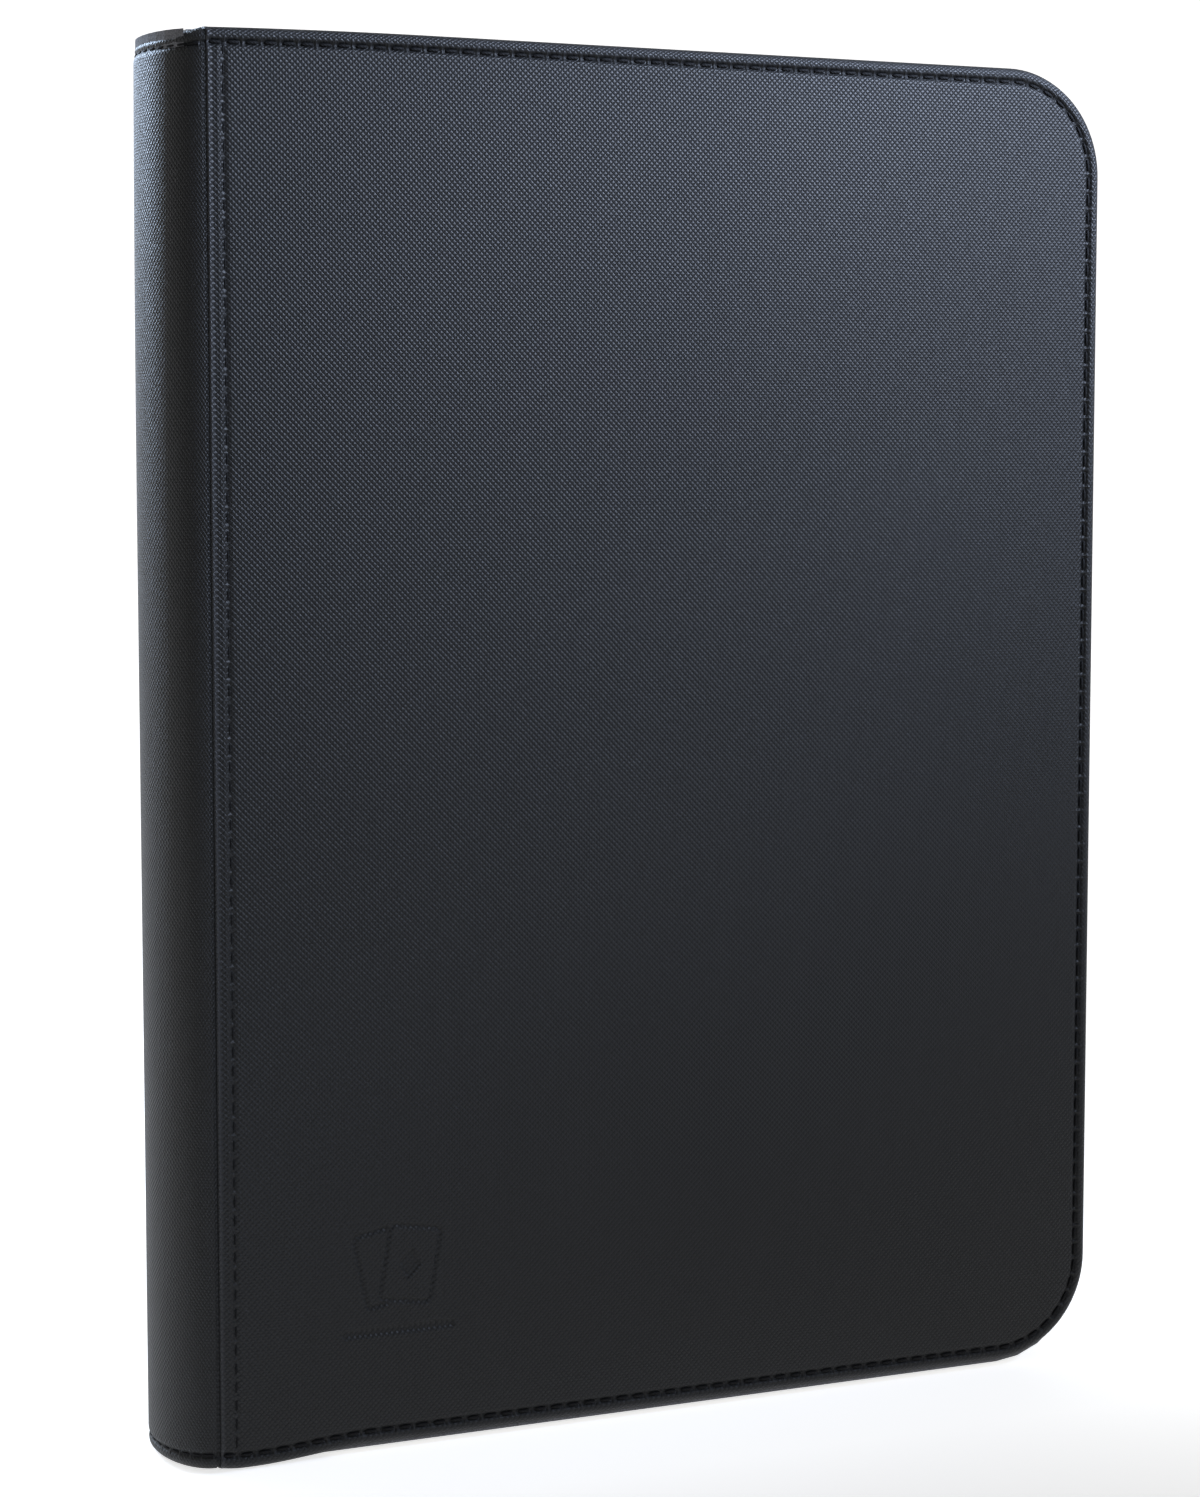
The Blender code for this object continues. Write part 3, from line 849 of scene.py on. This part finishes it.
def cover_lining(name, body, sign, material):
    """Columns of points from the lower to the upper edge of a sheet with two round corners."""
    low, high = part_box(body + "_lining")
    radius = corner_radius - (fore_x - high.x)
    turn = np.linspace(0.0, math.pi / 2, 19)[1:]
    columns = np.linspace(low.x, high.x - radius, 42)
    columns = np.concatenate([columns, high.x - radius + radius * np.sin(turn)])
    share, x = np.meshgrid(np.linspace(0.0, 1.0, 70), columns, indexing="ij")
    over = np.clip(x - high.x + radius, 0.0, radius)
    lift = radius - np.sqrt(radius**2 - over**2)
    z = low.z + lift + share * (high.z - low.z - 2 * lift)
    uneven = 0.00005 * (np.sin(x * 310.0 + z * 90.0) * np.sin(z * 260.0 + 0.7) - 1.0)
    inner_y = min(abs(low.y), abs(high.y))
    inner = joined(x, sign * (inner_y - uneven), z)
    outer = joined(x, np.full(x.shape, sign * (inner_y + 0.0004)), z)
    return shell(name, outer, inner, material, {"cloth": joined(x, z)})


woven_lining = lining_finish()
for body, sign in covers:
    lining = cover_lining(body + "_lining_cloth", body, sign, woven_lining)
    low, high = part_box(body + "_lining")
    width = high.x - low.x
    length = high.z - low.z
    cut = width * length - (2 - math.pi / 2) * (corner_radius - 0.0013) ** 2
    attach(lining, body)
    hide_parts(body + "_lining")

low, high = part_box("spine_lining")
z, y = np.meshgrid(np.linspace(low.z, high.z, 90), np.linspace(low.y, high.y, 24), indexing="ij")
uneven = 0.00005 * (np.sin(y * 400.0) * np.sin(z * 210.0) - 1.0)
face = joined(high.x + uneven, y, z)
back = joined(np.full(y.shape, low.x + 0.00005), y, z)
flat = {"cloth": joined(y, z)}
spine_lining = shell("spine_lining_cloth", face, back, woven_lining, flat)
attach(spine_lining, "spine")
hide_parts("spine_lining")
flat = (high.y - low.y, high.z - low.z)

# ----------------------------------------
# The inner hinge cloths. A strip of the lining bridges each crease on the
# inside, glued to the spine beside the page channel and to the cover.
hinge_margin = 0.004
bridge = 0.001 * np.array([
    (-0.13, -12.0), (-0.13, -13.4), (-0.08, -13.85), (0.05, -14.1), (0.25, -14.2), (0.45, -14.24),
    (0.65, -14.26), (0.85, -14.27), (1.1, -14.28), (2.5, -14.28), (5.0, -14.28), (8.1, -14.28)])


def section_run(section):
    """How far each point of a section lies along it: the sum of the steps before it."""
    steps = np.hypot(*np.diff(section, axis=0).T)
    return np.concatenate([[0.0], np.cumsum(steps)])


def section_side(section, half):
    """Offsets square to a section, half a cloth thick."""
    slope = np.gradient(section, axis=0)
    return unit(joined(-slope[:, 1], slope[:, 0])) * half


def hinge_cloth(name, sign, material):
    """The bridge's section carried up the crease between the rounded ends of the lining."""
    rows = np.linspace(hinge_margin, height - hinge_margin, 80)
    z, place = np.meshgrid(rows, np.arange(len(bridge)), indexing="ij")
    run = section_run(bridge)
    side = section_side(bridge, 0.00009)
    layers = []
    for offset in (-side, side):
        line = bridge + offset
        layers.append(joined(crease_x + line[place, 0], -sign * line[place, 1], z))
    piece = shell(name, *layers, material, {"cloth": joined(run[place], z)})
    return piece, run[-1]


for body, sign in covers:
    word = body.split("_")[0]
    cloth, width = hinge_cloth(word + "_hinge_cloth", sign, woven_lining)
    flat = (width, height - 2 * hinge_margin)
    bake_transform(cloth)

# ----------------------------------------
# The zip tapes. A woven herringbone tape is sewn flat on each lining and
# stands up from it at the zip's line, as far as the coil on its edge.
zip_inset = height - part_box("rear_zip_stop")[0].z - 0.0016
zip_z = height - zip_inset
zip_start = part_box("rear_zip_tape")[0].x
zip_radius = corner_radius - zip_inset
zip_run = 2 * (flat_x - zip_start) + fore_run + math.pi * zip_radius
tape_section = 0.001 * np.array([
    (2.5, 13.95), (3.6, 13.98), (5.0, 13.95), (6.6, 13.92), (7.5, 13.75), (7.95, 13.2),
    (8.0, 12.0), (8.05, 10.0), (8.08, 8.0), (8.05, 6.0), (8.0, 4.0), (8.0, 2.4), (8.0, 1.5)])


def tape_finish():
    """Herringbone: slanting ribs that change direction every two millimetres across."""
    paint = Paint("zip_tape_weave", (0.016, 0.016, 0.018), 0.75)
    along, across = paint.map("cloth")
    turned = (across * (math.pi / 0.0021)).sine().maths("SIGN")
    ribs = ((along + turned * across) * (2 * math.pi / 0.0009)).sine() * 0.5 + 0.5
    fuzz = paint.noise(paint.place(), 2500.0)
    share = ribs * fuzz * 1.5
    paint.colour(share, (0.007, 0.007, 0.008), (0.034, 0.034, 0.037))
    paint.bump(ribs + fuzz * 0.3, 0.00012)
    return paint.material


def zip_tape(name, sign, material):
    """The tape's bent section carried along the zip's line, with a slow ripple in its web."""
    run = np.linspace(0.0, zip_run, 340)
    along, place = np.meshgrid(run, np.arange(len(tape_section)), indexing="ij")
    inset = tape_section[place, 0]
    web = np.clip((0.0135 - tape_section[place, 1]) / 0.006, 0.0, 1.0)
    web = web * np.clip((tape_section[place, 1] - 0.0015) / 0.004, 0.0, 1.0)
    ripple = 0.00022 * web * np.sin(along * 190.0 + sign)
    side = section_side(tape_section, 0.00022)
    layers = []
    for offset in (-side, side):
        x, z, _ = round_the_edge(along, inset + offset[place, 0] + ripple, zip_start, zip_inset)
        y = sign * (tape_section[place, 1] + offset[place, 1])
        layers.append(joined(x, y, z))
    width = section_run(tape_section)
    piece = shell(name, *layers, material, {"cloth": joined(along, width[place])})
    return piece, width[-1]


tape_weave = tape_finish()
for body, sign in covers:
    word = body.split("_")[0]
    tape, width = zip_tape(word + "_tape_cloth", sign, tape_weave)
    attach(tape, body)
    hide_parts(word + "_zip_tape")
    runs = np.arange(0.004, seam_run - 0.004, stitch_pitch) + stitch_pitch / 2
    x, z, angle = round_the_edge(runs, seam_inset, start_x, seam_inset)
    kept = x > zip_start + 0.002
    flat = np.zeros_like(x)
    centres = joined(x, flat + sign * 0.01372, z)[kept]
    along = joined(-np.sin(angle), flat, np.cos(angle))[kept]
    outward = np.broadcast_to(np.array([0.0, -float(sign), 0.0]), along.shape)
    seam = threads(word + "_inner_stitches", centres, along, outward, thread)
    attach(seam, body)

# ----------------------------------------
# The zip's coils. Each is one nylon filament wound round the edge of its
# tape. Half a turn lies between the loops of one side and of the other, so
# their heads mesh on the middle line.
coil_pitch = 0.0015
coil_gap = 0.0008
loop_reach = 0.00102
loop_rise = 0.00132
loop_half_height = 0.00172
turn_points = 12
filament_radius = 0.00029
filament_sides = 6


def nylon_finish():
    """Drawn nylon, satin black, with a faint milky variation along its length."""
    paint = Paint("coil_nylon", (0.014, 0.014, 0.016), 0.34)
    cloud = paint.noise(paint.place(), 500.0)
    paint.colour(cloud, (0.009, 0.009, 0.010), (0.026, 0.026, 0.029))
    paint.set("Roughness", 0.28 + cloud * 0.14)
    return paint.material


def coil(name, sign, first, last, lag, material):
    """A tube round a helix: flattened loops that advance one pitch a turn along the zip's line."""
    turns = int((last - first) / coil_pitch)
    phase = np.arange(turns * turn_points + 1) / turn_points
    swing = 2 * math.pi * phase
    run = (np.floor(first / coil_pitch) + lag + phase) * coil_pitch
    inset = zip_inset + loop_reach * np.sin(swing)
    x, z, angle = round_the_edge(run, inset, zip_start, zip_inset)
    y = sign * (loop_rise + loop_half_height * np.cos(swing))
    line = joined(x, y, z)
    ahead = joined(-np.sin(angle), np.zeros_like(x), np.cos(angle))
    tangent = unit(np.gradient(line, axis=0))
    first_side = unit(ahead - tangent * (ahead * tangent).sum(axis=-1, keepdims=True))
    second_side = np.cross(tangent, first_side)
    around = np.arange(filament_sides) * (2 * math.pi / filament_sides)
    radius = np.full(len(line), filament_radius)
    radius[[0, -1]] = 0.0
    ring = np.cos(around)[:, None] * first_side[:, None]
    ring = ring + np.sin(around)[:, None] * second_side[:, None]
    points = (line[:, None] + ring * radius[:, None, None]).reshape(-1, 3)
    faces = quads(len(line), filament_sides, closed=True)
    return close_seams(add_piece(name, points, faces, material))


coil_nylon = nylon_finish()
for body, sign in covers:
    word = body.split("_")[0]
    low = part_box(word + "_zip_coil")[0]
    top_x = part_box("front_zip_stop")[1].x + 0.0003 if sign < 0 else low.x
    first = low.x - zip_start + coil_gap
    last = zip_run - (top_x - zip_start) - coil_gap
    lag = 0.5 * (sign > 0)
    loops = coil(word + "_coil_loops", sign, first, last, lag, coil_nylon)
    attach(loops, body)
    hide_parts(word + "_zip_coil")

# ----------------------------------------
# The stops, the slider with its bail, and the pull tab. They are cast in
# zinc and plated black nickel, with every edge eased.


def plating_finish():
    """Black nickel plate: hairline scratches and warmer, duller patches from handling."""
    paint = Paint("black_nickel_plate", (0.09, 0.09, 0.10), 0.28, 1.0)
    hairs = paint.streaks((300.0, 4000.0, 4000.0))
    cloud = paint.noise(paint.place(), 120.0)
    paint.colour(cloud, (0.060, 0.060, 0.067), (0.150, 0.148, 0.150))
    paint.set("Roughness", 0.20 + hairs * 0.2)
    paint.bump(hairs, 0.00001)
    return paint.material


def eased_copy(name, node, width, material):
    """A copy of a CAD node, merged and with its sharp edges bevelled."""
    mesh = frame["nodes"][node].data.copy()
    mesh.name = name
    mesh.materials.clear()
    mesh.materials.append(material)
    piece = bpy.data.objects.new(name, mesh)
    bpy.context.scene.collection.objects.link(piece)
    form = bmesh.new()
    form.from_mesh(mesh)
    bmesh.ops.remove_doubles(form, verts=form.verts, dist=1e-6)
    bmesh.ops.dissolve_limit(form, angle_limit=0.02, verts=form.verts, edges=form.edges)
    form.to_mesh(mesh)
    form.free()
    ease = piece.modifiers.new("ease", "BEVEL")
    ease.width = width
    ease.segments = 3
    ease.limit_method = "ANGLE"
    ease.angle_limit = math.radians(28)
    mesh.shade_smooth()
    return piece


black_nickel = plating_finish()
fittings = (
    ("front_zip_stop", "front_cover", 0.00035),
    ("rear_zip_stop", "rear_cover", 0.00035),
    ("bottom_zip_stop", "rear_cover", 0.00045),
    ("zip_slider_body", "zip_slider", 0.00030),
    ("zip_slider_bail", "zip_slider", 0.00022),
    ("pull_tab", "pull_tab", 0.00035),
)
for node, body, width in fittings:
    fitting = eased_copy(node + "_plated", node, width, black_nickel)
    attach(fitting, body)
    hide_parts(node)


# ----------------------------------------
# The page channel and the welded block of page margins. The channel is an
# extruded black plastic section. The block is the fused margins of all leaves.
def channel_finish():
    """Extruded plastic with faint draw lines along its length."""
    paint = Paint("extruded_channel", (0.018, 0.018, 0.019), 0.38)
    lines = paint.streaks((2500.0, 2500.0, 12.0))
    paint.colour(lines, (0.012, 0.012, 0.013), (0.030, 0.030, 0.032))
    paint.set("Roughness", 0.30 + lines * 0.2)
    paint.bump(lines, 0.00003)
    return paint.material


def welded_finish():
    """Fused film edges: one fine dark line between each leaf and the next."""
    paint = Paint("welded_margins", (0.05, 0.05, 0.055), 0.35)
    leaf = paint.parts(paint.place())[1]
    edges = (leaf * (math.pi / 0.0013)).sine().size()
    cloud = paint.noise(paint.place(), 400.0)
    share = edges * (0.6 + cloud * 0.5)
    paint.colour(share, (0.012, 0.012, 0.013), (0.085, 0.085, 0.090))
    paint.bump(edges, 0.00010)
    return paint.material


dress("binding_channel", channel_finish())
dress("page_root_block", welded_finish())

# ----------------------------------------
# The pages. Each leaf is a black polypropylene sheet with clear film welded
# on both faces into nine pockets that load from the spine side. Air and
# the film's set make each pocket stand a little proud between the welds.
leaf_count = 20
pocket_columns = 3
pocket_rows = 3
weld = 0.0025
column_width = 0.0675
page_margin = 0.003


def film_finish():
    """Clear film over black sheet: glossy, faintly orange-peeled, matt and pale on the welds."""
    paint = Paint("pocket_leaf", (0.016, 0.016, 0.018), 0.16)
    paint.set("Specular IOR Level", 0.6)
    across, up = paint.map("leaf")
    welded = paint.mark("weld")
    peel = paint.noise(paint.place(), 90.0, 4.0)
    ticks = ((across + up) * (2 * math.pi / 0.0012)).sine() * 0.5 + 0.5
    shade = welded * (0.5 + 0.5 * ticks)
    paint.colour(shade, (0.013, 0.013, 0.015), (0.060, 0.060, 0.066))
    paint.set("Roughness", 0.12 + peel * 0.12 + welded * 0.3)
    paint.bump(peel * 0.7 + ticks * welded * 0.15, 0.00016)
    return paint.material


def leaf_lines(first, width, count):
    """Grid lines for a row of pockets: close together at the welds, wide apart between them."""
    shares = np.array([0.0, 0.006, 0.02, 0.06, 0.14, 0.3, 0.5, 0.7, 0.86, 0.94, 0.98, 0.994, 1.0])
    starts = first + np.arange(count) * (width + weld)
    return (starts[:, None] + shares[None, :] * width).ravel()


def pocket_bulge(place, first, width, count, mouth):
    """Rises from 0 at each weld to 1 in the pocket; steeply where the pocket is open."""
    pocket = np.clip(np.floor((place - first) / (width + weld)), 0, count - 1)
    share = (place - first - pocket * (width + weld)) / width
    inside = (share > 0.0) & (share < 1.0)
    open_side = np.clip(share / (0.012 if mouth else 0.16), 0.0, 1.0)
    shut_side = np.clip((1.0 - share) / 0.16, 0.0, 1.0)
    rise = np.sqrt(np.clip(open_side * (2.0 - open_side) * shut_side * (2.0 - shut_side), 0.0, 1.0))
    return np.where(inside, rise, 0.0)


def leaf(number, material):
    """Both faces of a leaf on one grid, as far from its middle as film and pocket are thick."""
    node = f"page_{number:02d}"
    low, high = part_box(node)
    middle = (low.y + high.y) / 2
    first_x = high.x - page_margin - pocket_columns * column_width - (pocket_columns - 1) * weld
    pocket_height = high.z - low.z - 2 * page_margin - (pocket_rows - 1) * weld
    pocket_height = pocket_height / pocket_rows
    columns = leaf_lines(first_x, column_width, pocket_columns)
    columns = np.concatenate([[low.x], columns, [high.x]])
    rows = leaf_lines(low.z + page_margin, pocket_height, pocket_rows)
    rows = np.concatenate([[low.z], rows, [high.z]])
    z, x = np.meshgrid(rows, columns, indexing="ij")
    rise = pocket_bulge(x, first_x, column_width, pocket_columns, True)
    rise = rise * pocket_bulge(z, low.z + page_margin, pocket_height, pocket_rows, False)
    slow = 1.0 + 0.25 * np.sin(x * 70.0 + number * 1.9) * np.sin(z * 52.0 + number)
    half = 0.00011 + 0.00022 * rise * slow
    front = joined(x, middle - half, z)
    back = joined(x, middle + half, z)
    maps = {"leaf": joined(x - low.x, z - low.z)}
    piece = shell(node + "_pockets", front, back, material, maps, {"weld": (rise < 0.02) * 1.0})
    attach(piece, node)
    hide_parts(node)


pocket_leaf = film_finish()
for number in range(1, leaf_count + 1):
    leaf(number, pocket_leaf)

# ----------------------------------------
# The floor and the light: a pale sweep that curves up behind the binder
# and glows, a painted light that is dim in front of the binder and brighter
# behind it, an even white surround, and two cool soft boxes above it, one in
# front of the binder and one behind.
floor_finish = Paint("pale_sweep", (0.90, 0.90, 0.90), 0.8)
floor_place = floor_finish.place()
floor_finish.set("Roughness", 0.75 + floor_finish.noise(floor_place, 3.0) * 0.1)
# Painted light: the sweep glows, dim in front of the binder and brighter behind it, though it is no
# lamp.
painted_glow = ((floor_finish.parts(floor_place)[1] + 0.42) / 0.36).most(0.0).least(1.0)
floor_finish.set("Emission Color", floor_finish.mix(painted_glow, (0.05, 0.05, 0.05), (0.72, 0.72, 0.72)))
floor_finish.set("Emission Strength", 1.0)
turn = np.linspace(0.0, math.pi / 2, 25)
bend_y = 2.6
bend = 1.6
flat_y = np.linspace(-5.0, bend_y, 12)[:-1]
sweep_y = np.concatenate([flat_y, bend_y + bend * np.sin(turn), np.full(6, bend_y + bend)])
sweep_z = np.concatenate([flat_y * 0.0, bend - bend * np.cos(turn), np.linspace(1.7, 5.0, 6)])
x, place = np.meshgrid(np.linspace(-6.0, 6.0, 9), np.arange(len(sweep_y)))
points = joined(x, sweep_y[place], sweep_z[place] - 0.0004).reshape(-1, 3)
floor = add_piece("sweep", points, quads(*x.shape), floor_finish.material)

world = bpy.data.worlds.new("studio")
bpy.context.scene.world = world
world.use_nodes = True
surround = world.node_tree.nodes["Background"].inputs
surround["Color"].default_value = (1.0, 1.0, 1.0, 1.0)
surround["Strength"].default_value = 0.28
bpy.context.scene.view_settings.view_transform = "Standard"


def soft_box(name, place, target, width, depth, watts, tint, spread=180):
    """A rectangular lamp that faces a point, with a honeycomb that narrows its beam."""
    lamp = bpy.data.lights.new(name, "AREA")
    lamp.shape = "RECTANGLE"
    lamp.size, lamp.size_y = width, depth
    lamp.energy, lamp.color = watts, tint
    lamp.spread = math.radians(spread)
    holder = bpy.data.objects.new(name, lamp)
    holder.location = place
    across = np.array(target) - np.array(place)
    tilt = math.atan2(math.hypot(across[0], across[1]), -across[2])
    holder.rotation_euler = (tilt, 0.0, math.atan2(-across[0], across[1]))
    holder.visible_camera = False
    bpy.context.scene.collection.objects.link(holder)


soft_box("key_box", (0.52, -0.48, 0.66), (0.17, 0.0, 0.46), 0.32, 0.24, 3.4, (0.65, 0.76, 1.0), 54)
soft_box("rim_box", (-0.45, 1.10, 0.80), (-0.12, 0.0, 0.42), 0.35, 0.6, 2.1, (0.60, 0.76, 1.0), 50)
